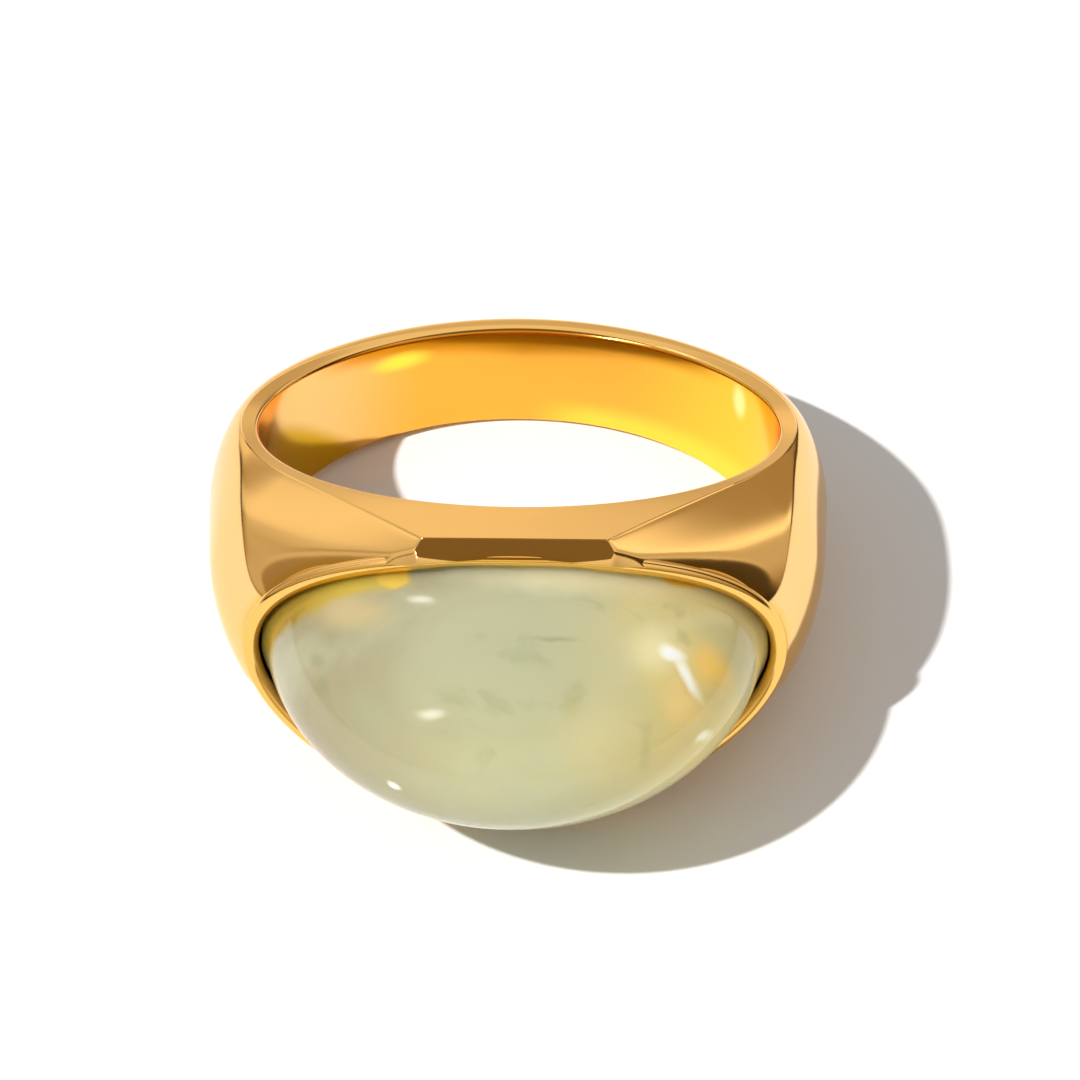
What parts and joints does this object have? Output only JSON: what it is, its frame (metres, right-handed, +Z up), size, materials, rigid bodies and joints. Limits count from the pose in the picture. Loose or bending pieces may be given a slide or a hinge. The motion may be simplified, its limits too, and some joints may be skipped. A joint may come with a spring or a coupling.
{
  "type": "gemstone dome ring",
  "caption": "Polished gold-coloured dome ring whose band widens into a broad head, with a tall oval cabochon in a rubbed setting, lying on its side.",
  "frame": {"origin": "centre of the bounding box at the level of the surface that the ring lies on", "axes": "+Z up; the stone's dome points to -Y and the narrow back of the shank to +Y; the finger axis is 9.1 degrees from +Z, leaning towards +Y"},
  "size_m": [0.0206, 0.0286, 0.0101],
  "materials": {
    "gold": "mirror-polished yellow gold plating",
    "cabochon": "polished translucent pale green stone with cloudy veils"
  },
  "bodies": {
    "root": {"band": "gold", "stone": "cabochon"}
  },
  "joints": []
}
